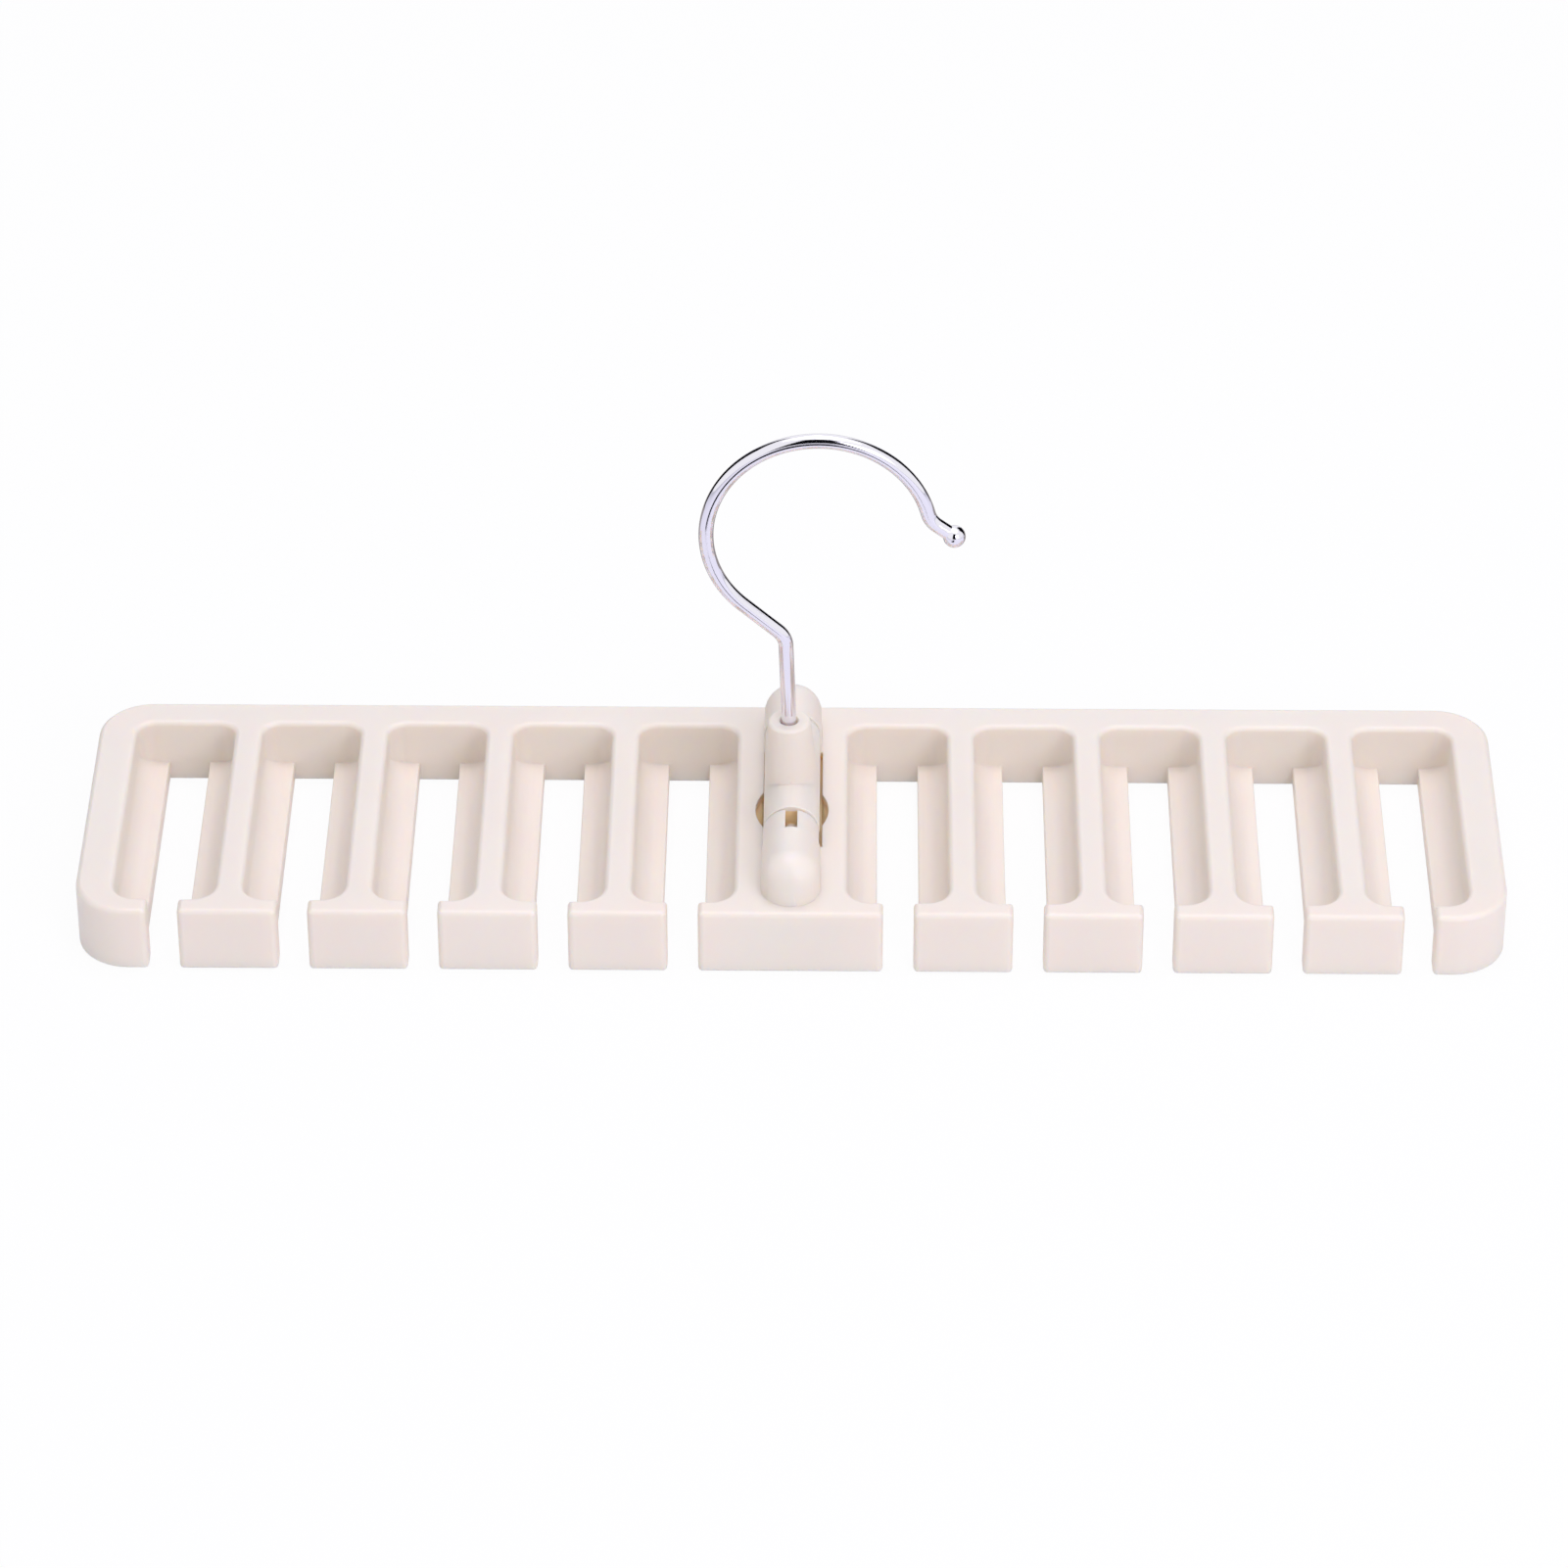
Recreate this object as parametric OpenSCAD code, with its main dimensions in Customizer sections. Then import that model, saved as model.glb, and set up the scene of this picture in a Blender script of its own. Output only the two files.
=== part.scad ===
// Tie hanger: a comb-shaped rack that hangs from a wire hook.
// The hook turns in an upright neck, and the neck tilts to either side on two moulded pins.
// X runs along the rack, Y from its front to its back, and Z up.
// The rack stands on Z = 0, with its middle on the Z axis. All sizes are in millimetres.

/* [Rack] */
// Number of tie slots on each side of the middle web
slots_per_side = 5; // [2:1:6]
// Distance from one slot's middle to the next
slot_pitch = 30.8; // [29.2:0.1:34]
// Width of a slot at the rack's top face
slot_w = 24.1; // [20:0.1:25.6]
// Width of the middle web at the top face
web_w = 27; // [25:0.1:34]
// Width of each end finger at the top face
end_w = 9.2; // [8:0.1:14]
// Depth of the rack from front to back
rack_d = 86; // [84:1:100]
// Thickness of the rack
rack_h = 17; // [14:0.5:24]
// Plan radius of the rack's outer corners
corner_r = 12.7; // [8:0.1:16]
// Depth of the back strip that carries the fingers
spine_d = 8.6; // [7:0.1:14]
// Depth of the heads at the fingers' front ends
head_d = 5.5; // [4:0.1:8]
// Width of the way in between two heads
mouth_w = 7.3; // [5:0.1:9.5]
// Width of the gap between two ledges
gap_w = 10; // [8:0.1:13]
// Thickness of the ledges along the fingers' feet
ledge_t = 5; // [3:0.1:7]
// Radius where a finger's side runs into its ledge
ledge_fillet_r = 5; // [1:0.1:6]
// Plan radius of a slot's back corners
slot_back_r = 4.5; // [2:0.1:8]
// Plan radius of a slot's front corners, where a finger flares into its head
slot_front_r = 5.5; // [2:0.1:8]
// Walls left round the hollows under the rack
rack_wall = 2.2; // [1.6:0.1:2.6]
// Thickness of the top skin over those hollows
rack_skin = 2.4; // [1.6:0.1:4]
// Number of hollows side by side under the middle web
web_hollows = 5; // [5:2:7]

/* [Hinge housing] */
// Height of the tilt axis above the rack's top face
tilt_axis_h = 4.8; // [3.6:0.1:6]
// Length of the housing, from the nose's tip to the dome's
housing_l = 80; // [74:0.5:83]
// Radius of the fixed nose in front and the fixed dome behind
housing_r = 7; // [6.6:0.1:8]
// Wall left over the hollow inside the nose and the dome
housing_wall = 2; // [1.4:0.1:3]
// Distance from the middle to the front end of the neck's opening
opening_front = 15.7; // [13:0.1:18]
// Distance from the middle to the back end of the neck's opening
opening_back = 23.2; // [20:0.1:25]
// Distance from the middle to the place where the opening gets a floor; in front of it, it goes through
through_back = 13; // [9:0.1:16]
// Width of the part of the opening that goes right through
through_w = 13; // [11:0.1:14]
// How far the opening's middle lies to the right of the neck's
opening_shift = 0.2; // [0:0.05:0.25]
// Outer radius of the bearing between the opening and the nose
bearing_r = 6.7; // [5:0.1:6.9]
// How far the bearing's round top is set below the nose's
bearing_drop = 0.5; // [0:0.1:1]
// How far the bearing's middle lies to the left of the neck's
bearing_shift = 0.15; // [0:0.05:0.3]
// Length of that bearing
bearing_l = 8.2; // [5:0.1:9]
// Width of the slot in its top, which the front pin snaps through
catch_w = 2.85; // [2:0.05:3.4]
// Radius of the arcs that bound the relief beside the neck's root
relief_r = 14; // [11:0.5:18]
// How far the relief reaches past each side of the opening
relief_reach = 1.7; // [1:0.1:2.4]
// Depth of the relief
relief_depth = 2; // [1:0.5:8]
// How far the relief's middle lies in front of the neck
relief_shift = 0.8; // [0:0.1:1.4]
// Radial play of every turning fit
fit_play = 0.06; // [0.02:0.01:0.1]

/* [Tilting neck] */
// How far the neck leans to the left at rest
rest_lean = 1.9; // [0:0.1:4]
// Radius of the barrel that the neck stands on
barrel_r = 6.7; // [6:0.1:7]
// Gap on each side of the barrel, and under it
side_gap = 0.35; // [0.3:0.05:1]
// Gap at each end of the barrel
end_gap = 0.3; // [0.2:0.05:0.6]
// Radius of the two hinge pins
pin_r = 1.8; // [1.5:0.1:2.4]
// Length of each hinge pin
pin_l = 6.5; // [4:0.1:7.2]
// Height of the neck's top face above the tilt axis
neck_h = 21.1; // [16:0.1:28]
// Radius of the neck at its top face
neck_top_r = 5.1; // [4.2:0.1:6]
// Radius of the neck where it leaves the barrel
neck_root_r = 6.4; // [5.6:0.1:6.5]
// Rounding of the neck's upper rim
neck_rim_r = 0.8; // [0.3:0.1:1.5]
// Wall of the barrel, which is hollow from below
barrel_wall = 2; // [1.4:0.1:2.2]
// Height of the boss's lower face above the tilt axis
boss_end_h = 1.5; // [0.5:0.1:3]
// Radius of the boss round the wire
boss_r = 4.2; // [3.4:0.1:4.3]
// Radius of the bore's wide mouth at the neck's top face
mouth_r = 2.3; // [2.1:0.1:3]
// Depth over which that mouth narrows to the bore
mouth_h = 1.6; // [0.8:0.1:4]

/* [Hook] */
// Diameter of the wire
wire_d = 3.5; // [3:0.1:3.8]
// Radius of the loop, to the middle of the wire
loop_r = 26.4; // [22:0.1:32]
// How far the loop's middle lies to the right of the stem
loop_x = 8.7; // [4:0.1:14]
// Height of the loop's middle above the tilt axis
loop_h = 73.6; // [68:0.1:86]
// Height above the tilt axis at which the stem would meet the slanted run
bend_h = 45.2; // [40:0.1:48]
// Bend radius between the stem and the slanted run, to the middle of the wire
bend_r = 6; // [4:0.1:12]
// Angle at which the loop ends, above the horizontal on its right
loop_end_a = 13; // [0:1:40]
// Length of straight wire between the loop and the tip's bend
tip_run_l = 0.5; // [0.4:0.1:2]
// Bend radius where the tip turns outwards
tip_bend_r = 6; // [4:0.1:10]
// Angle through which the tip turns outwards
tip_turn_a = 38; // [20:1:60]
// Length of wire from that bend to the middle of the ball
tip_l = 5; // [4:0.1:9]
// Diameter of the ball on the tip
ball_d = 5.3; // [4.8:0.1:8]
// Diameter of the turned-down wire end inside the ball
spigot_d = 2.4; // [1.6:0.1:2.8]

/* [Swivel fixing] */
// Radius of the washer under the boss
washer_r = 4.1; // [3.4:0.1:4.2]
// Thickness of the washer
washer_t = 0.8; // [0.5:0.1:1.2]
// Play between the boss and the washer
washer_play = 0.05; // [0.02:0.01:0.2]
// Outer radius of the ring that is pushed on to the wire
ring_r = 3.7; // [3:0.1:4.1]
// Thickness of the ring's steel
ring_t = 0.5; // [0.3:0.1:0.8]
// Height to which the ring is dished
ring_dish = 0.7; // [0.4:0.1:1]
// Number of teeth round the ring's hole
ring_teeth = 6; // [4:1:10]
// Width of the cuts between the teeth
ring_cut_w = 0.6; // [0.3:0.1:0.8]
// Length of wire that stands out below the ring
wire_end_l = 1.2; // [0.6:0.1:2]

/* [Hidden] */

$fn = 72;
// How far a cut reaches past the face that it opens
past = 1;
// Gap that a pressed joint keeps in the solids
press_gap = 0.02;
// How much thicker the wire is in a bend, and how far a straight run reaches into the bend
bend_swell = 0.01;
bend_lap = 0.1;

plastic = "#EDE4DA";
chrome = "#C9CCD4";
steel = "#9A9DA3";

// The rack
first_slot_x = web_w / 2 + slot_w / 2;
slot_xs = [for (side = [-1, 1], i = [0 : slots_per_side - 1]) side * (first_slot_x + i * slot_pitch)];
finger_xs = [for (side = [-1, 1], i = [1 : slots_per_side - 1])
    side * (first_slot_x + (i - 0.5) * slot_pitch)];
rack_w = 2 * (first_slot_x + (slots_per_side - 1) * slot_pitch + slot_w / 2 + end_w);
front_y = -rack_d / 2;
back_y = rack_d / 2;
slot_front_y = front_y + head_d;
slot_back_y = back_y - spine_d;
slot_l = slot_back_y - slot_front_y;
finger_w = slot_pitch - slot_w;
hollow_h = rack_h - rack_skin;
web_hollow_w = (web_w - rack_wall) / web_hollows - rack_wall;

// The hinge
tilt_z = rack_h + tilt_axis_h;
end_y = housing_l / 2 - housing_r;
bearing_front_y = -opening_front - bearing_l;
opening_w = 2 * (barrel_r + side_gap);
opening_floor_z = tilt_z - barrel_r - side_gap;
pin_bore_r = pin_r + fit_play;
barrel_front_y = -opening_front + end_gap;
barrel_back_y = opening_back - end_gap;
barrel_core_r = barrel_r - barrel_wall;

// The hook, as [x, height above the tilt axis]
wire_r = wire_d / 2;
ball_r = ball_d / 2;
loop_c = [loop_x, loop_h];
bend_p = [0, bend_h];
slant_a = atan2(loop_h - bend_h, loop_x) + asin(loop_r / norm(loop_c - bend_p));
bend_turn_a = slant_a - 90;
bend_cut = bend_r * tan(bend_turn_a / 2);
bend_c = [-bend_r, bend_h - bend_cut];
slant_from = bend_p + bend_cut * heading(slant_a);
slant_to = loop_c + loop_r * heading(slant_a + 90);
loop_turn_a = slant_a + 90 - loop_end_a;
tip_c = loop_c + (loop_r + tip_bend_r) * heading(loop_end_a) + tip_run_l * heading(loop_end_a - 90);
tip_a = loop_end_a - 90 + tip_turn_a;
tip_from = tip_c + tip_bend_r * heading(loop_end_a + 180 + tip_turn_a);
ball_c = tip_from + tip_l * heading(tip_a);
// The wire's shoulder meets the ball where the ball is as wide as the wire
shoulder = sqrt(pow(ball_r, 2) - pow(wire_r, 2));

// The swivel fixing, as heights above the tilt axis
washer_z = boss_end_h - washer_play - washer_t;
ring_z = washer_z - ring_dish - ring_t;
wire_end_z = ring_z - wire_end_l;

function heading(a) = [cos(a), sin(a)];

// A rectangle with round corners, centred on the origin
module rounded_plan(w, d, r) {
    square([w - 2 * r, d], center = true);
    square([w, d - 2 * r], center = true);
    for (x = [-1, 1], y = [-1, 1])
        translate([x * (w / 2 - r), y * (d / 2 - r)]) circle(r);
}

// Stands an outline of X and Z on end and draws it along Y
module along_y(from_y, to_y) {
    translate([0, to_y, 0]) rotate([90, 0, 0]) linear_extrude(to_y - from_y) children();
}

// A box by its lowest and highest corners
module box(low, high) {
    translate(low) cube(high - low);
}

// What tilts is drawn with the tilt axis through the origin
module at_rest() {
    translate([0, 0, tilt_z]) rotate([0, -rest_lean, 0]) children();
}

// The slot seen from above, with its own radius for the front and the back corners
module slot_plan() {
    translate([-slot_w / 2, slot_front_y + slot_front_r])
        square([slot_w, slot_l - slot_front_r - slot_back_r]);
    translate([-slot_w / 2 + slot_back_r, slot_back_y - 2 * slot_back_r])
        square([slot_w - 2 * slot_back_r, 2 * slot_back_r]);
    translate([-slot_w / 2 + slot_front_r, slot_front_y])
        square([slot_w - 2 * slot_front_r, 2 * slot_front_r]);
    for (x = [-1, 1]) {
        translate([x * (slot_w / 2 - slot_back_r), slot_back_y - slot_back_r]) circle(slot_back_r);
        translate([x * (slot_w / 2 - slot_front_r), slot_front_y + slot_front_r]) circle(slot_front_r);
    }
}

// The slot seen from the front, with a fillet where each side runs into its ledge
module slot_section() {
    top = rack_h + past;
    translate([-slot_w / 2, ledge_t + ledge_fillet_r])
        square([slot_w, top - ledge_t - ledge_fillet_r]);
    translate([-slot_w / 2 + ledge_fillet_r, ledge_t])
        square([slot_w - 2 * ledge_fillet_r, 2 * ledge_fillet_r]);
    for (x = [-1, 1])
        translate([x * (slot_w / 2 - ledge_fillet_r), ledge_t + ledge_fillet_r]) circle(ledge_fillet_r);
}

// One slot: the pocket above the ledges, the gap between them and the way in
module slot_cut() {
    intersection() {
        linear_extrude(rack_h + past) slot_plan();
        along_y(slot_front_y - past, slot_back_y + past) slot_section();
    }
    box([-gap_w / 2, slot_front_y, -past], [gap_w / 2, slot_back_y, rack_h - past]);
    box([-mouth_w / 2, front_y - past, -past], [mouth_w / 2, slot_front_y + past, rack_h + past]);
}

// The hollows under the back strip, the end fingers and the fingers
module finger_cores() {
    spine_w = rack_w - 2 * corner_r;
    box([-spine_w / 2, slot_back_y + rack_wall, -past], [spine_w / 2, back_y - rack_wall, hollow_h]);
    for (x = finger_xs)
        box([x - finger_w / 2 + rack_wall, slot_front_y, -past],
            [x + finger_w / 2 - rack_wall, slot_back_y + rack_wall + past, hollow_h]);
    for (side = [-1, 1])
        translate([side * (rack_w - end_w) / 2, 0, 0])
            box([-end_w / 2 + rack_wall, front_y + corner_r, -past],
                [end_w / 2 - rack_wall, back_y - corner_r, hollow_h]);
}

// The hollows under the web, in front of the opening and behind it, with ribs between them
module web_cores() {
    for (i = [0 : web_hollows - 1])
        translate([(i - (web_hollows - 1) / 2) * (web_hollow_w + rack_wall), 0, 0]) {
            box([-web_hollow_w / 2, front_y + rack_wall, -past],
                [web_hollow_w / 2, -opening_front - rack_wall, hollow_h]);
            box([-web_hollow_w / 2, through_back + rack_wall, -past],
                [web_hollow_w / 2, slot_back_y + rack_wall + past, opening_floor_z - rack_skin]);
            box([-web_hollow_w / 2, opening_back + rack_wall, -past],
                [web_hollow_w / 2, slot_back_y + rack_wall + past, hollow_h]);
        }
}

// A tombstone outline that stands on the rack's top face or reaches below it
module tombstone(r, foot_z) {
    translate([0, tilt_z]) circle(r);
    translate([-r, foot_z]) square([2 * r, tilt_z - foot_z]);
}

// The round end of the housing: a bullet with a spherical top, cut in half; side is -1 in front
module bullet_end(r, foot_z, side) {
    translate([0, side * end_y, 0]) intersection() {
        rotate_extrude() intersection() {
            tombstone(r, foot_z);
            translate([0, foot_z]) square([r, tilt_z - foot_z + r]);
        }
        box([-r - past, min(0, side * (r + past)), foot_z - past],
            [r + past, max(0, side * (r + past)), tilt_z + r + past]);
    }
}

// The nose in front and the dome behind, with the slotted bearing between nose and neck
module housing() {
    foot_z = rack_h - rack_skin / 2;
    bullet_end(housing_r, foot_z, -1);
    along_y(-end_y, bearing_front_y) tombstone(housing_r, foot_z);
    along_y(bearing_front_y, -opening_front)
        translate([-bearing_shift, -bearing_drop]) tombstone(bearing_r, foot_z);
    along_y(opening_back, end_y) tombstone(housing_r, foot_z);
    bullet_end(housing_r, foot_z, 1);
}

// The middle hollow of the web runs on up into the nose and the dome
module housing_cores() {
    r = housing_r - housing_wall;
    foot_z = hollow_h - rack_skin / 2;
    intersection() {
        union() {
            bullet_end(r, foot_z, -1);
            along_y(-end_y, bearing_front_y - housing_wall) tombstone(r, foot_z);
            along_y(opening_back + pin_l + housing_wall, end_y) tombstone(r, foot_z);
            bullet_end(r, foot_z, 1);
        }
        box([-web_hollow_w / 2, front_y, 0], [web_hollow_w / 2, back_y, tilt_z + housing_r]);
    }
}

// The relief in the top face that lets the neck's round root tilt: a lens between two arcs
module relief() {
    middle_x = relief_r - opening_w / 2 - relief_reach;
    translate([0, -relief_shift, rack_h - relief_depth]) intersection() {
        translate([-middle_x, 0, 0]) cylinder(r = relief_r, h = relief_depth + past);
        translate([middle_x, 0, 0]) cylinder(r = relief_r, h = relief_depth + past);
    }
}

// Where the neck's barrel and pins go
module neck_opening() {
    box([-through_w / 2, -opening_front, -past], [through_w / 2, through_back, opening_floor_z + past]);
    translate([opening_shift, 0, 0])
        box([-opening_w / 2, -opening_front, opening_floor_z],
            [opening_w / 2, opening_back, tilt_z + housing_r + past]);
    relief();
    along_y(bearing_front_y, opening_back + pin_l) translate([0, tilt_z]) circle(pin_bore_r);
    box([-catch_w / 2, bearing_front_y, tilt_z], [catch_w / 2, -opening_front + past, tilt_z + housing_r]);
}

module rack() {
    color(plastic) difference() {
        union() {
            linear_extrude(rack_h) rounded_plan(rack_w, rack_d, corner_r);
            housing();
        }
        for (x = slot_xs)
            translate([x, 0, 0]) slot_cut();
        finger_cores();
        web_cores();
        housing_cores();
        neck_opening();
    }
}

// Half the neck's outline: straight inside the barrel, tapered above it, with a round rim
module neck_outline() {
    rim_x = neck_top_r - neck_rim_r;
    rim_z = neck_h - neck_rim_r;
    polygon([
        [0, 0],
        [neck_root_r, 0],
        [neck_root_r, barrel_r],
        [neck_top_r, rim_z],
        [rim_x, rim_z],
        [rim_x, neck_h],
        [0, neck_h]
    ]);
    translate([rim_x, rim_z]) circle(neck_rim_r);
}

// The hollow of the barrel, open below, with the boss for the wire left standing in it
module barrel_hollow() {
    difference() {
        along_y(barrel_front_y + barrel_wall, barrel_back_y - barrel_wall) {
            circle(barrel_core_r);
            translate([-barrel_core_r, -barrel_r - past]) square([2 * barrel_core_r, barrel_r + past]);
        }
        translate([0, 0, boss_end_h]) cylinder(r = boss_r, h = neck_h);
    }
}

module wire_bore() {
    bore_r = wire_r + fit_play;
    cylinder(r = bore_r, h = neck_h + past);
    translate([0, 0, neck_h - mouth_h]) cylinder(r1 = bore_r, r2 = mouth_r, h = mouth_h);
    translate([0, 0, neck_h]) cylinder(r = mouth_r, h = past);
}

module tilting_neck() {
    color(plastic) at_rest() {
        difference() {
            union() {
                along_y(barrel_front_y, barrel_back_y) circle(barrel_r);
                rotate_extrude() neck_outline();
            }
            barrel_hollow();
            wire_bore();
        }
        along_y(barrel_front_y - pin_l, barrel_front_y) circle(pin_r);
        along_y(barrel_back_y, barrel_back_y + pin_l) circle(pin_r);
    }
}

// The wire is drawn the way it is bent: each stretch carries on where the one before it ends,
// with the wire running along its own Z. A run reaches a little way into the bends at its ends.
module wire_run(length) {
    translate([0, 0, -bend_lap]) cylinder(r = wire_r, h = length + 2 * bend_lap);
    translate([0, 0, length]) children();
}

// A bend, a hair thicker than the runs that end in it; side is -1 to the left and 1 to the right
module wire_bend(side, radius, angle) {
    translate([side * radius, 0, 0]) {
        rotate([90, 0, 0]) rotate([0, 0, side < 0 ? 0 : 180 - angle]) rotate_extrude(angle = angle)
            translate([radius, 0]) circle(wire_r + bend_swell);
        rotate([0, side * angle, 0]) translate([-side * radius, 0, 0]) children();
    }
}

module hook_wire() {
    color(chrome) at_rest() translate([0, 0, wire_end_z + bend_lap])
        wire_run(bend_c.y - wire_end_z - bend_lap)
        wire_bend(-1, bend_r, bend_turn_a)
        wire_run(norm(slant_to - slant_from))
        wire_bend(1, loop_r, loop_turn_a)
        wire_run(tip_run_l)
        wire_bend(-1, tip_bend_r, tip_turn_a)
        wire_run(tip_l - shoulder - bend_lap)
        cylinder(r = spigot_d / 2, h = shoulder + bend_lap);
}

module hook_tip_ball() {
    color(chrome) at_rest() translate([ball_c.x, 0, ball_c.y]) rotate([0, 90 - tip_a, 0]) difference() {
        sphere(ball_r);
        translate([0, 0, -shoulder - ball_d]) cylinder(r = ball_d, h = ball_d);
        translate([0, 0, -ball_d]) cylinder(r = spigot_d / 2 + press_gap, h = ball_d + press_gap);
    }
}

module swivel_washer() {
    color(steel) at_rest() translate([0, 0, washer_z]) difference() {
        cylinder(r = washer_r, h = washer_t);
        translate([0, 0, -past]) cylinder(r = wire_r + fit_play, h = washer_t + 2 * past);
    }
}

// A dished steel ring whose teeth grip the wire under the washer
module push_on_ring() {
    hole_r = wire_r + press_gap;
    flat_r = (hole_r + ring_r) / 2;
    color(steel) at_rest() translate([0, 0, ring_z]) difference() {
        rotate_extrude() polygon([
            [hole_r, 0],
            [flat_r, ring_dish],
            [ring_r, ring_dish],
            [ring_r, ring_dish + ring_t],
            [flat_r, ring_dish + ring_t],
            [hole_r, ring_t]
        ]);
        for (i = [0 : ring_teeth - 1])
            rotate([0, 0, i * 360 / ring_teeth])
                box([0, -ring_cut_w / 2, -past], [flat_r, ring_cut_w / 2, ring_dish + ring_t + past]);
    }
}

rack();
tilting_neck();
hook_wire();
hook_tip_ball();
swivel_washer();
push_on_ring();
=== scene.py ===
import math

import bmesh
import bpy
from mathutils import Matrix, Vector


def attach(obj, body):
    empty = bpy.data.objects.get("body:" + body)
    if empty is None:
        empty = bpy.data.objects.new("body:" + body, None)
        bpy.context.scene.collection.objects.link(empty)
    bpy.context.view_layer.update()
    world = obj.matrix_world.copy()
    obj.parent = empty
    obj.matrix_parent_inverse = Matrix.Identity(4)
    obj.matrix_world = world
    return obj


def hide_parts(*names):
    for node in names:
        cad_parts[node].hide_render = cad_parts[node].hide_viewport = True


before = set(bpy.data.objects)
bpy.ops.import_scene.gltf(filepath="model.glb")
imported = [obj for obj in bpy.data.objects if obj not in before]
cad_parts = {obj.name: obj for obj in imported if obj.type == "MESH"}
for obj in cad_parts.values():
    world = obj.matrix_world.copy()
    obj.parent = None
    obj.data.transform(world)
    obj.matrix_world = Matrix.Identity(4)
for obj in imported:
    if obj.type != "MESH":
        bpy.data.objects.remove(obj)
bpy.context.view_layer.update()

MM = 0.001

# Sizes are in millimetres over the rack's flat underside, until MM turns them to metres
RACK_TOP = 17.0
TILT_AXIS = 21.8
REST_LEAN = math.radians(1.9)

SLOTS_PER_SIDE = 5
SLOT_PITCH = 30.8
FIRST_SLOT_X = 25.55
BEARING_FRONT_Y = -23.9


# Small helpers

def linear(code):
    """A colour written as sRGB hex, in the linear values that Blender works in."""
    steps = [int(code[i:i + 2], 16) / 255 for i in (1, 3, 5)]
    return [s / 12.92 if s <= 0.04045 else ((s + 0.055) / 1.055) ** 2.4 for s in steps] + [1.0]


def add(tree, kind, sockets=None, **settings):
    """One node with its settings, and each socket set to a value or fed by another node's output."""
    node = tree.nodes.new(kind)
    for name, value in settings.items():
        setattr(node, name, value)
    for name, value in (sockets or {}).items():
        if isinstance(value, bpy.types.NodeSocket):
            tree.links.new(value, node.inputs[name])
        else:
            node.inputs[name].default_value = value
    return node


def new_material(name):
    material = bpy.data.materials.new(name)
    material.use_nodes = True
    material.node_tree.nodes.clear()
    return material, material.node_tree


def only(obj):
    """Leaves this object alone selected and active."""
    bpy.ops.object.select_all(action="DESELECT")
    obj.select_set(True)
    bpy.context.view_layer.objects.active = obj


def lean(obj):
    """Turns a piece from the upright neck to the neck's lean at rest, in its mesh."""
    pivot = Matrix.Translation((0, 0, TILT_AXIS * MM))
    obj.data.transform(pivot @ Matrix.Rotation(-REST_LEAN, 4, "Y") @ pivot.inverted())


# Materials

def moulded_ivory():
    # Injection-moulded ABS in ivory: a satin skin that is a little translucent, so light that has gone
    # through a wall or bounced in a slot comes back warm, over a very faint mould texture. In the hinge's
    # hollows an amber shade is also painted into the colour.
    material, tree = new_material("moulded_ivory_abs")
    place = add(tree, "ShaderNodeTexCoord").outputs["Object"]
    # Flow of the melt: clouds about 25 mm across, hardly seen
    flow = add(tree, "ShaderNodeTexNoise", {"Vector": place, "Scale": 1 / (25 * MM), "Detail": 2.0})
    tone = add(tree, "ShaderNodeMix", {
        "Factor": flow.outputs["Fac"], "A": linear("#F2E9DC"), "B": linear("#F0E4D6")}, data_type="RGBA")
    # Down in the hinge's opening, and behind the catch slot, shade is painted: an amber tone stands in for
    # the warm light that has bounced in these hollows and come through the plastic. A box of this tone
    # round each place, with its middle, its reach from there and how softly it starts, in millimetres
    for middle, reach, start in (((0, 4, 0), (9.0, 19.2, 15.5), 1.0),
                                 ((0, -15.5, 23), (3, 0.15, 4.0), 0.2)):
        here = add(tree, "ShaderNodeVectorMath", {
            0: place, 1: Vector(middle) * MM}, operation="SUBTRACT")
        off = add(tree, "ShaderNodeVectorMath", {0: here.outputs["Vector"]}, operation="ABSOLUTE")
        sides = add(tree, "ShaderNodeSeparateXYZ", {"Vector": off.outputs["Vector"]})
        painted_hollow_shade = None
        for axis, most in zip("XYZ", reach):
            part = add(tree, "ShaderNodeMapRange", {
                "Value": sides.outputs[axis], "From Min": (most + start) * MM, "From Max": most * MM})
            painted_hollow_shade = part if painted_hollow_shade is None else add(tree, "ShaderNodeMath", {
                0: painted_hollow_shade.outputs[0], 1: part.outputs[0]}, operation="MULTIPLY")
        # Mixes the painted amber shade of this hollow into the colour
        tone = add(tree, "ShaderNodeMix", {
            "Factor": painted_hollow_shade.outputs[0], "A": tone.outputs["Result"], "B": linear("#FCDAA5")},
            data_type="RGBA")
    # Spark-eroded mould skin: grain about 0.6 mm across, coarser than real so that it shows
    grain = add(tree, "ShaderNodeTexNoise", {"Vector": place, "Scale": 1 / (0.6 * MM), "Detail": 2.0})
    rough = add(tree, "ShaderNodeMapRange", {
        "Value": grain.outputs["Fac"], "To Min": 0.36, "To Max": 0.46})
    bump = add(tree, "ShaderNodeBump", {
        "Height": grain.outputs["Fac"], "Strength": 0.06, "Distance": 0.05 * MM})
    skin = add(tree, "ShaderNodeBsdfPrincipled", {
        "Base Color": tone.outputs["Result"], "Roughness": rough.outputs["Result"],
        "Normal": bump.outputs["Normal"], "IOR": 1.53,
        "Subsurface Weight": 0.6, "Subsurface Radius": (0.85, 0.62, 0.34), "Subsurface Scale": 3.5 * MM})
    add(tree, "ShaderNodeOutputMaterial", {"Surface": skin.outputs["BSDF"]})
    return material


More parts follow.
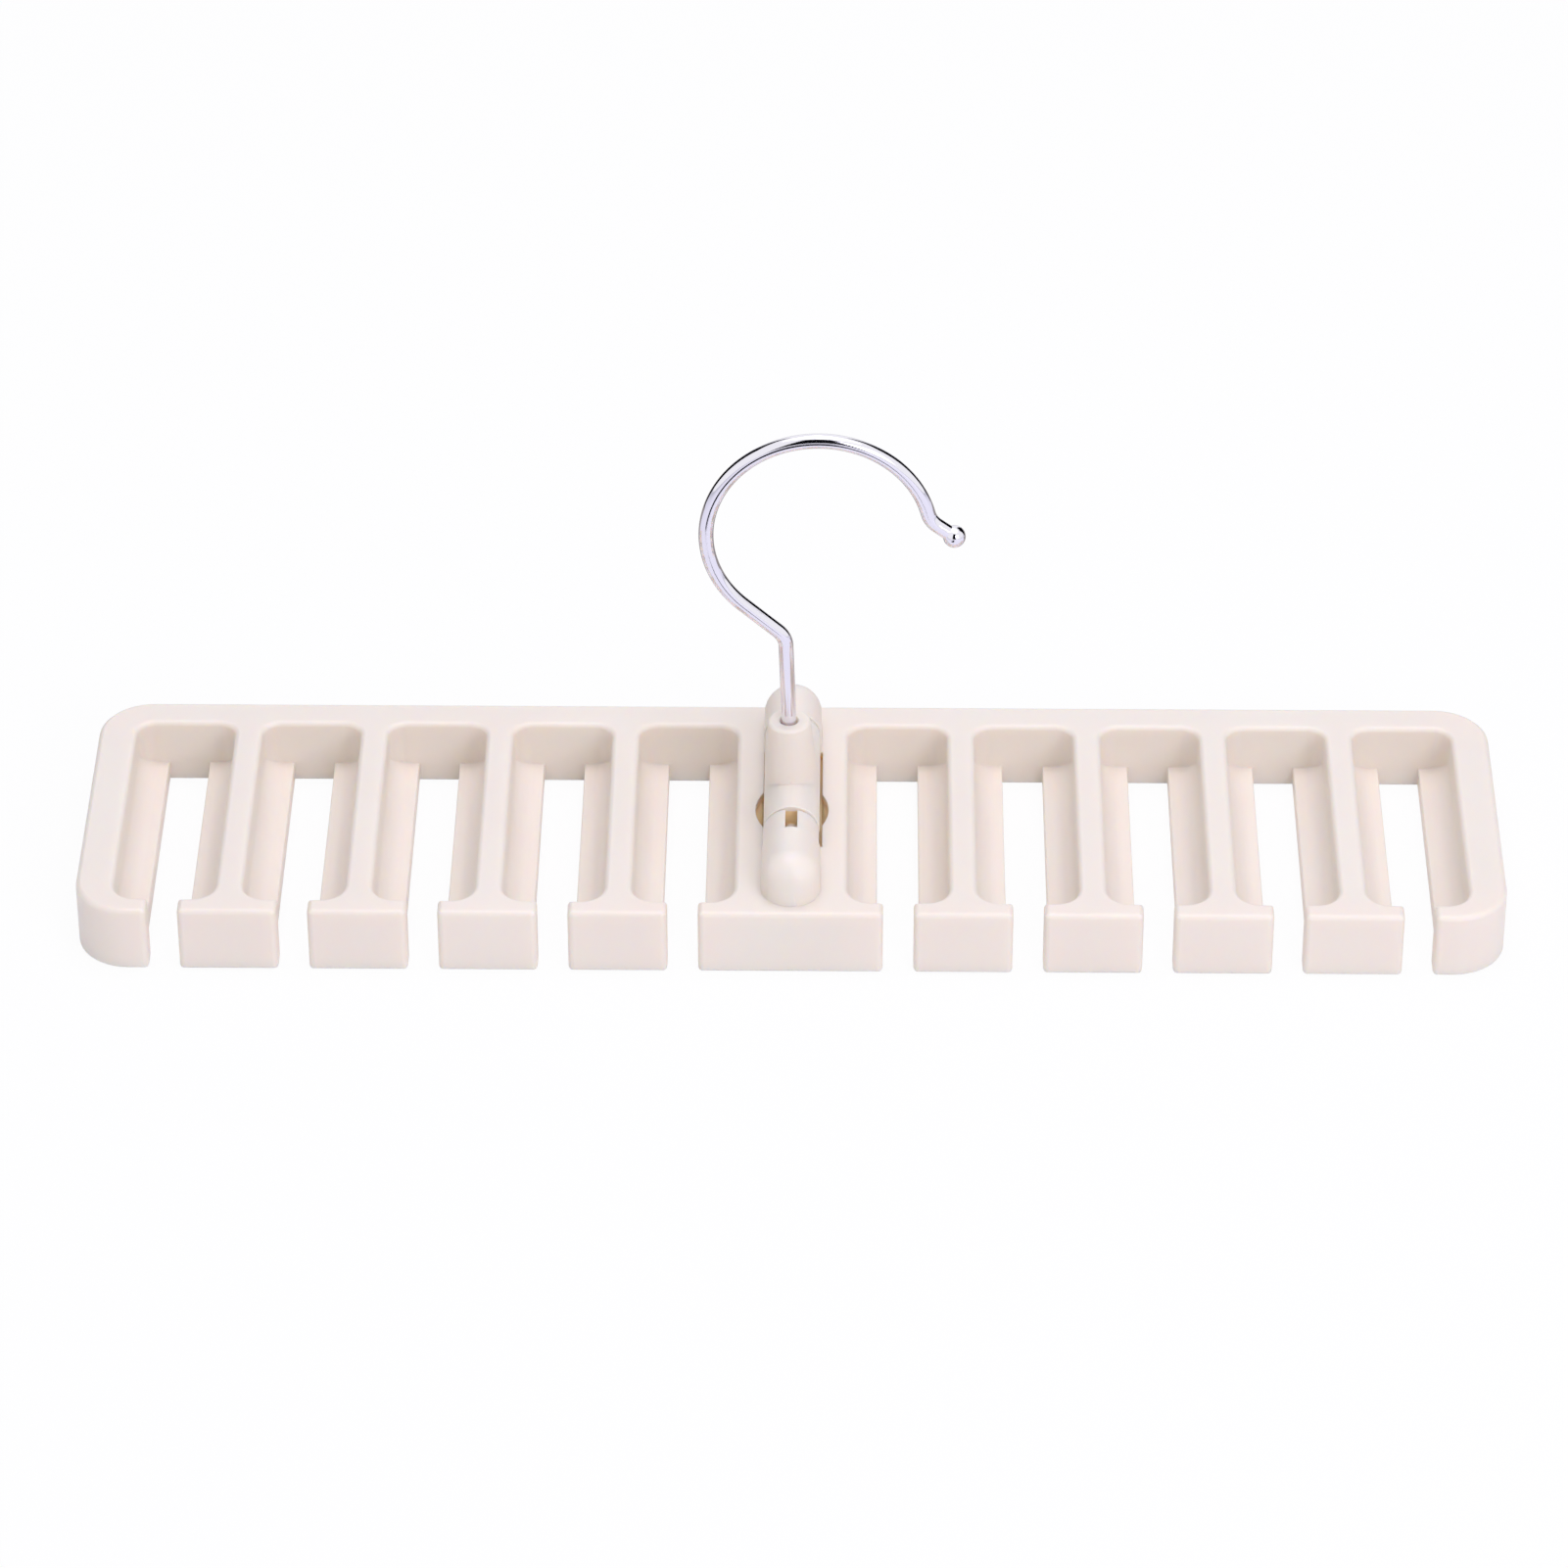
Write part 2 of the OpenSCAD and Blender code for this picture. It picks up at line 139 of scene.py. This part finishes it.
def plated_wire():
    # Drawn steel wire, bent and then bright chrome plated: a mirror with a faint lilac cast, and
    # draw marks that spread its reflections a little.
    material, tree = new_material("chrome_plated_steel_wire")
    place = add(tree, "ShaderNodeTexCoord").outputs["Object"]
    # Plating waves about 1.5 mm across
    waves = add(tree, "ShaderNodeTexNoise", {"Vector": place, "Scale": 1 / (1.5 * MM), "Detail": 1.0})
    rough = add(tree, "ShaderNodeMapRange", {
        "Value": waves.outputs["Fac"], "To Min": 0.05, "To Max": 0.12})
    bump = add(tree, "ShaderNodeBump", {
        "Height": waves.outputs["Fac"], "Strength": 0.03, "Distance": 0.02 * MM})
    mirror = add(tree, "ShaderNodeBsdfPrincipled", {
        "Base Color": linear("#ECEAF3"), "Metallic": 1.0,
        "Roughness": rough.outputs["Result"], "Normal": bump.outputs["Normal"]})
    add(tree, "ShaderNodeOutputMaterial", {"Surface": mirror.outputs["BSDF"]})
    return material


def stamped_steel():
    # Stamped spring steel, left bare: dull grey with a tumbled grain about 0.3 mm across.
    material, tree = new_material("stamped_spring_steel")
    place = add(tree, "ShaderNodeTexCoord").outputs["Object"]
    grain = add(tree, "ShaderNodeTexNoise", {"Vector": place, "Scale": 1 / (0.3 * MM), "Detail": 3.0})
    tone = add(tree, "ShaderNodeMix", {
        "Factor": grain.outputs["Fac"], "A": linear("#8E9196"), "B": linear("#A3A6AB")}, data_type="RGBA")
    rough = add(tree, "ShaderNodeMapRange", {
        "Value": grain.outputs["Fac"], "To Min": 0.32, "To Max": 0.5})
    metal = add(tree, "ShaderNodeBsdfPrincipled", {
        "Base Color": tone.outputs["Result"], "Metallic": 1.0, "Roughness": rough.outputs["Result"]})
    add(tree, "ShaderNodeOutputMaterial", {"Surface": metal.outputs["BSDF"]})
    return material


# Moulded pieces: the solids, with the rounded edges that a mould gives

def merged_copy(node, name, cuts, under_cuts=()):
    """A copy of a solid with its triangles merged into whole faces. The cuts across it, each at an
    x in millimetres, keep the faces free of holes, and under_cuts only cut the flat underside."""
    obj = bpy.data.objects.new(name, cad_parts[node].data.copy())
    bpy.context.scene.collection.objects.link(obj)
    only(obj)
    bpy.ops.object.mode_set(mode="EDIT")
    bpy.ops.mesh.select_all(action="SELECT")
    bpy.ops.mesh.remove_doubles(threshold=0.0005 * MM)
    for x in (*cuts, *under_cuts):
        bpy.ops.mesh.select_all(action="SELECT")
        if x in under_cuts:
            mesh = bmesh.from_edit_mesh(obj.data)
            for face in mesh.faces:
                face.select_set(all(corner.co.z < 0.1 * MM for corner in face.verts))
            bmesh.update_edit_mesh(obj.data)
        bpy.ops.mesh.bisect(plane_co=(x * MM, 0, 0), plane_no=(1, 0, 0))
        bpy.ops.mesh.mark_seam()
    bpy.ops.mesh.select_all(action="SELECT")
    bpy.ops.mesh.dissolve_limited(angle_limit=math.radians(0.3), delimit={"SEAM"})
    bpy.ops.object.mode_set(mode="OBJECT")
    return obj


def round_edges(obj, radius_at, segments=3):
    """Rounds each sharp edge by the radius in millimetres that radius_at gives for its middle."""
    mesh = bmesh.new()
    mesh.from_mesh(obj.data)
    weights = mesh.edges.layers.float.new("bevel_weight_edge")
    largest = 0.0
    for edge in mesh.edges:
        if len(edge.link_faces) != 2 or edge.calc_face_angle() < math.radians(32):
            continue
        middle = (edge.verts[0].co + edge.verts[1].co) / (2 * MM)
        radius = radius_at(middle, edge)
        edge[weights] = radius
        largest = max(largest, radius)
    for edge in mesh.edges:
        edge[weights] /= largest
    mesh.to_mesh(obj.data)
    mesh.free()
    only(obj)
    bevel = obj.modifiers.new("rounding", "BEVEL")
    bevel.width = largest * MM
    bevel.segments = segments
    bevel.limit_method = "WEIGHT"
    bevel.use_clamp_overlap = False
    bpy.ops.object.modifier_apply(modifier="rounding")


def smooth(obj, angle=35):
    only(obj)
    bpy.ops.object.shade_smooth_by_angle(angle=math.radians(angle))
    even = obj.modifiers.new("even_shading", "WEIGHTED_NORMAL")
    even.keep_sharp = True
    bpy.ops.object.modifier_apply(modifier="even_shading")


# How close to a level an edge's middle counts as lying on it
NEAR = 0.2


def rack_radius(middle, edge):
    """Large on the rims that a hand meets, small in the slots and the hinge, none in the hollows."""
    x, y, z = abs(middle.x), middle.y, middle.z
    in_web_hollow = x < 13 and 16 < abs(y) < 42 and NEAR < z < RACK_TOP - 0.3
    in_nose_or_dome = x < 1.6 and abs(y) > 24 and z < 28
    if in_web_hollow or in_nose_or_dome:
        return 0.0
    if x < 9.6 and abs(y) < 41:
        if z < RACK_TOP - NEAR:
            return 0.0
        # The step from the nose down to the bearing is low at its left side
        return 0.05 if abs(y - BEARING_FRONT_Y) < 0.3 else 0.2
    if z > RACK_TOP - NEAR:
        return 1.3
    if z < NEAR:
        outer_rim = y < -39 or y > 40 or x > 158
        return 0.6 if outer_rim else 0.4
    # The upright edges of the heads, first at their fronts and then at their backs
    if y < -42:
        return 1.5
    if y < -37 and edge.calc_length() > 9 * MM:
        return 0.5
    return 0.4 if z > 4.5 else 0.3


def make_rack():
    # The cuts run through the middle of the web, beside and inside the hinge, and through the
    # middle of each slot and finger. Under the ends they miss the corners of the rim's bevel.
    cuts = [0.0]
    for side in (-1, 1):
        cuts += [side * (FIRST_SLOT_X + step * SLOT_PITCH / 2) for step in range(2 * SLOTS_PER_SIDE - 1)]
        cuts += [side * 9.9, side * 5.0]
    rack = merged_copy("rack", "rack_moulding", cuts, (-163.65, 163.65))
    round_edges(rack, rack_radius)
    smooth(rack)
    return rack


def neck_radius(middle, edge):
    """Only the barrel's ends and the neck above the barrel are rounded."""
    outside = middle.y < -15 or middle.y > 22 or middle.z > 29.2
    return 0.25 if outside else 0.0


def make_neck():
    # The cut misses the middle, where the neck's own corners lie
    neck = merged_copy("tilting_neck", "neck_moulding", (0.3,))
    round_edges(neck, neck_radius)
    smooth(neck)
    return neck


# The hook

WIRE_R = 1.75
LOOP_R = 26.4
LOOP_X, LOOP_UP = 8.7, 73.6
BEND_UP, BEND_R = 45.2, 6.0
LOOP_END = math.radians(13)
TIP_RUN, TIP_BEND_R, TIP_TURN, TIP_L = 0.5, 6.0, math.radians(38), 5.0
WIRE_END = -1.8
BALL_R = 2.65
# The wire runs this far into the ball, and the ball's collar runs down the wire
WIRE_IN_BALL = 0.3
COLLAR_TOP, COLLAR_L, COLLAR_LIP = 0.12, 0.25, 0.05


def towards(angle):
    return Vector((math.cos(angle), 0, math.sin(angle)))


def at_up(x, up):
    """A point of the upright hook, from its distances to the stem and over the tilt axis."""
    return Vector((x, 0, TILT_AXIS + up)) * MM


loop_middle = Vector((LOOP_X, 0, LOOP_UP))
bend_point = Vector((0, 0, BEND_UP))
slant = (math.atan2(LOOP_UP - BEND_UP, LOOP_X)
         + math.asin(LOOP_R / (loop_middle - bend_point).length))
bend_turn = slant - math.pi / 2
bend_cut = BEND_R * math.tan(bend_turn / 2)
loop_turn = slant + math.pi / 2 - LOOP_END
slant_length = (loop_middle + LOOP_R * towards(slant + math.pi / 2)
                - bend_point - bend_cut * towards(slant)).length
tip_middle = (loop_middle + (LOOP_R + TIP_BEND_R) * towards(LOOP_END)
              + TIP_RUN * towards(LOOP_END - math.pi / 2))
tip_heading = LOOP_END - math.pi / 2 + TIP_TURN
ball_middle = (tip_middle + TIP_BEND_R * towards(LOOP_END + math.pi + TIP_TURN)
               + TIP_L * towards(tip_heading))
shoulder = math.sqrt(BALL_R ** 2 - WIRE_R ** 2)


def make_wire():
    """The wire is drawn out of one round face: pulled along each straight run and swept round each bend."""
    bpy.ops.object.select_all(action="DESELECT")
    bpy.ops.mesh.primitive_circle_add(vertices=32, radius=WIRE_R * MM, fill_type="NGON",
                                      location=at_up(0, WIRE_END))
    wire = bpy.context.active_object
    wire.name = "hook_wire_bent"
    bpy.ops.object.transform_apply(location=True, rotation=True, scale=True)
    bpy.ops.object.mode_set(mode="EDIT")
    bpy.ops.mesh.select_mode(type="FACE")
    bpy.ops.mesh.select_all(action="SELECT")
    heading = math.pi / 2
    point = Vector((0, 0, WIRE_END))

    def pull(length):
        nonlocal point
        bpy.ops.mesh.extrude_region_move(
            TRANSFORM_OT_translate={"value": length * MM * towards(heading)})
        point = point + length * towards(heading)

    def sweep(side, radius, turn, steps):
        # side is 1 to the right and -1 to the left
        nonlocal point, heading
        centre = point + side * radius * towards(heading - math.pi / 2)
        bpy.ops.mesh.spin(steps=steps, angle=side * turn, dupli=False,
                          center=at_up(centre.x, centre.z), axis=(0, -1, 0))
        point = centre - side * radius * towards(heading - side * turn - math.pi / 2)
        heading -= side * turn

    pull(BEND_UP - bend_cut - WIRE_END)
    sweep(-1, BEND_R, bend_turn, 14)
    pull(slant_length)
    sweep(1, LOOP_R, loop_turn, 110)
    pull(TIP_RUN)
    sweep(-1, TIP_BEND_R, TIP_TURN, 12)
    pull(TIP_L - shoulder + WIRE_IN_BALL)
    bpy.ops.mesh.select_all(action="SELECT")
    bpy.ops.mesh.remove_doubles(threshold=0.0005 * MM)
    bpy.ops.mesh.normals_make_consistent(inside=False)
    bpy.ops.object.mode_set(mode="OBJECT")
    lean(wire)
    only(wire)
    bpy.ops.object.shade_smooth_by_angle(angle=math.radians(40))
    return wire


def make_ball():
    """The pressed ball: a sphere whose wire side runs into a short collar round the wire."""
    bpy.ops.object.select_all(action="DESELECT")
    bpy.ops.mesh.primitive_uv_sphere_add(segments=40, ring_count=24, radius=BALL_R * MM)
    ball = bpy.context.active_object
    ball.name = "hook_tip_ball_plated"
    bpy.ops.object.mode_set(mode="EDIT")
    bpy.ops.mesh.select_all(action="SELECT")
    bpy.ops.mesh.bisect(plane_co=(0, 0, -(shoulder - COLLAR_TOP) * MM), plane_no=(0, 0, 1),
                        clear_inner=True, use_fill=False)
    # The collar narrows a little, and then its lip turns in to the wire
    for length, narrowing in ((COLLAR_L, 0.96), (COLLAR_LIP, 0.9)):
        bpy.ops.mesh.extrude_region_move(TRANSFORM_OT_translate={"value": (0, 0, -length * MM)})
        bpy.ops.transform.resize(value=(narrowing, narrowing, 1), center_override=(0, 0, 0))
    bpy.ops.mesh.edge_face_add()
    bpy.ops.mesh.select_all(action="SELECT")
    bpy.ops.mesh.normals_make_consistent(inside=False)
    bpy.ops.object.mode_set(mode="OBJECT")
    ball.data.transform(Matrix.Translation(at_up(ball_middle.x, ball_middle.z))
                        @ Matrix.Rotation(math.pi / 2 - tip_heading, 4, "Y"))
    lean(ball)
    only(ball)
    bpy.ops.object.shade_smooth_by_angle(angle=math.radians(40))
    return ball


# Build

ivory = moulded_ivory()
chrome = plated_wire()
steel = stamped_steel()

for piece, node, body, slot, finish in (
        (make_rack(), "rack", "rack", "ivory_plastic", ivory),
        (make_neck(), "tilting_neck", "neck", "ivory_plastic", ivory),
        (make_wire(), "hook_wire", "hook", "chrome_wire", chrome),
        (make_ball(), "hook_tip_ball", "hook", "chrome_wire", chrome)):
    piece.data.materials.clear()
    piece.data.materials.append(finish)
    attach(piece, body)
    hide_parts(node)

for node in ("swivel_washer", "push_on_ring"):
    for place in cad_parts[node].material_slots:
        place.material = steel


# Floor, light and camera

# The share of plain white in what the camera sees of the floor
FLOOR_WHITENESS = 0.93


def pale_floor():
    # A plain white sweep: the camera sees it almost white, and the shadow stays on it faintly.
    material, tree = new_material("white_paper_sweep")
    paper = add(tree, "ShaderNodeBsdfDiffuse", {"Color": linear("#F4F3F2")})
    glow = add(tree, "ShaderNodeEmission", {"Color": (1, 1, 1, 1), "Strength": 1.0})
    rays = add(tree, "ShaderNodeLightPath")
    seen = add(tree, "ShaderNodeMath", {
        0: rays.outputs["Is Camera Ray"], 1: FLOOR_WHITENESS}, operation="MULTIPLY")
    mix = add(tree, "ShaderNodeMixShader", {
        0: seen.outputs["Value"], 1: paper.outputs["BSDF"], 2: glow.outputs["Emission"]})
    add(tree, "ShaderNodeOutputMaterial", {"Surface": mix.outputs["Shader"]})
    return material


bpy.ops.object.select_all(action="DESELECT")
bpy.ops.mesh.primitive_plane_add(size=6, location=(0, 0, -0.0002))
floor = bpy.context.active_object
floor.name = "floor"
floor.data.materials.append(pale_floor())

# The eye and the mirrors see plain white round the piece. What else the room lights gets a
# weaker and slightly blue white.
world = bpy.data.worlds.new("studio")
bpy.context.scene.world = world
world.use_nodes = True
world.node_tree.nodes.clear()
tree = world.node_tree
rays = add(tree, "ShaderNodeLightPath")
direct = add(tree, "ShaderNodeMath", {0: rays.outputs["Is Camera Ray"], 1: rays.outputs["Is Glossy Ray"]},
             operation="MAXIMUM")
clear = add(tree, "ShaderNodeMath", {0: direct.outputs["Value"], 1: rays.outputs["Is Transmission Ray"]},
            operation="MAXIMUM")
room = add(tree, "ShaderNodeBackground", {"Color": linear("#EEF0FA"), "Strength": 0.66})
white = add(tree, "ShaderNodeBackground", {"Color": (1, 1, 1, 1), "Strength": 1.0})
sky = add(tree, "ShaderNodeMixShader", {
    0: clear.outputs["Value"], 1: room.outputs["Background"], 2: white.outputs["Background"]})
add(tree, "ShaderNodeOutputWorld", {"Surface": sky.outputs["Shader"]})


def softbox(name, place, aim, width, height, power, colour="#FFFFFF"):
    light = bpy.data.lights.new(name, "AREA")
    light.shape = "RECTANGLE"
    light.size, light.size_y = width, height
    light.energy = power
    light.color = linear(colour)[:3]
    obj = bpy.data.objects.new(name, light)
    bpy.context.scene.collection.objects.link(obj)
    obj.location = place
    obj.rotation_euler = (Vector(aim) - Vector(place)).to_track_quat("-Z", "Y").to_euler()


softbox("overhead_softbox", (0.05, 0.05, 1.3), (0, 0, 0), 1.1, 0.9, 7.6, "#F1EEFF")
softbox("front_softbox", (0.72, -1.2, 0.8), (0, 0, 0.02), 0.8, 0.6, 7.15, "#F1EEFF")


def studio_card(name, corners, shade):
    """A card that only mirrors see, for the dark streaks that bright plating needs to look like metal."""
    material, tree = new_material(name + "_paper")
    tone = add(tree, "ShaderNodeEmission", {"Color": linear(shade), "Strength": 1.0})
    add(tree, "ShaderNodeOutputMaterial", {"Surface": tone.outputs["Emission"]})
    mesh = bpy.data.meshes.new(name)
    mesh.from_pydata(corners, [], [(0, 1, 2, 3)])
    card = bpy.data.objects.new(name, mesh)
    bpy.context.scene.collection.objects.link(card)
    mesh.materials.append(material)
    for kind in ("camera", "diffuse", "transmission", "volume_scatter", "shadow"):
        setattr(card, "visible_" + kind, False)


def at_bearing(bearing, distance, height):
    """A point round the hook: bearing in degrees from the front, positive to the right."""
    turn = math.radians(bearing)
    return distance * math.sin(turn), -distance * math.cos(turn), height


def wall_card(name, bearing, half_width, distance, low, high, shade):
    """An upright card between two bearings."""
    left, right = bearing - half_width, bearing + half_width
    studio_card(name, [at_bearing(left, distance, low), at_bearing(right, distance, low),
                       at_bearing(right, distance, high), at_bearing(left, distance, high)], shade)


def floor_card(name, bearing, half_width, near, far, shade):
    """A card on the floor between two bearings."""
    left, right = bearing - half_width, bearing + half_width
    studio_card(name, [at_bearing(left, near, 0.0015), at_bearing(right, near, 0.0015),
                       at_bearing(right, far, 0.0015), at_bearing(left, far, 0.0015)], shade)


BLACK = "#08080C"
# Walls of black paper: bearing, half width, distance, and the heights that it spans
wall_card("dark_camera_side", -1, 17, 1.9, 0.15, 2.8, BLACK)
wall_card("dark_card_left", -134, 24, 1.6, 0, 1.5, BLACK)
wall_card("dark_card_right", 136, 23, 1.6, 0, 1.5, BLACK)
floor_card("dark_floor_left", -134, 24, 0.35, 1.6, BLACK)
floor_card("dark_floor_right", 136, 23, 0.5, 1.6, BLACK)
studio_card("dark_strip_in_front", [(-0.075, -0.6, 0.001), (0.03, -0.6, 0.001), (0.03, -0.15, 0.001),
                                    (-0.075, -0.15, 0.001)], BLACK)
studio_card("grey_paper_behind", [(-0.4, 0.06, 0.001), (0.4, 0.06, 0.001), (0.4, 0.34, 0.001),
                                  (-0.4, 0.34, 0.001)], "#A09A98")

camera = bpy.data.objects.new("camera", bpy.data.cameras.new("camera"))
bpy.context.scene.collection.objects.link(camera)
bpy.context.scene.camera = camera
# A long lens, as in a product photograph: 35.7 degrees down, turned 0.65 degrees to the left
camera.data.sensor_width = 36
camera.data.lens = 156.07
camera.data.clip_end = 20
down, turn, roll = math.radians(35.669), math.radians(0.647), math.radians(-0.07)
view = (Matrix.Rotation(turn, 4, "Z") @ Matrix.Rotation(math.pi / 2 - down, 4, "X")
        @ Matrix.Rotation(roll, 4, "Z"))
camera.matrix_world = Matrix.Translation((0.01307, -1.32812, 0.97735)) @ view

scene = bpy.context.scene
scene.view_settings.view_transform = "Standard"

bpy.context.view_layer.update()
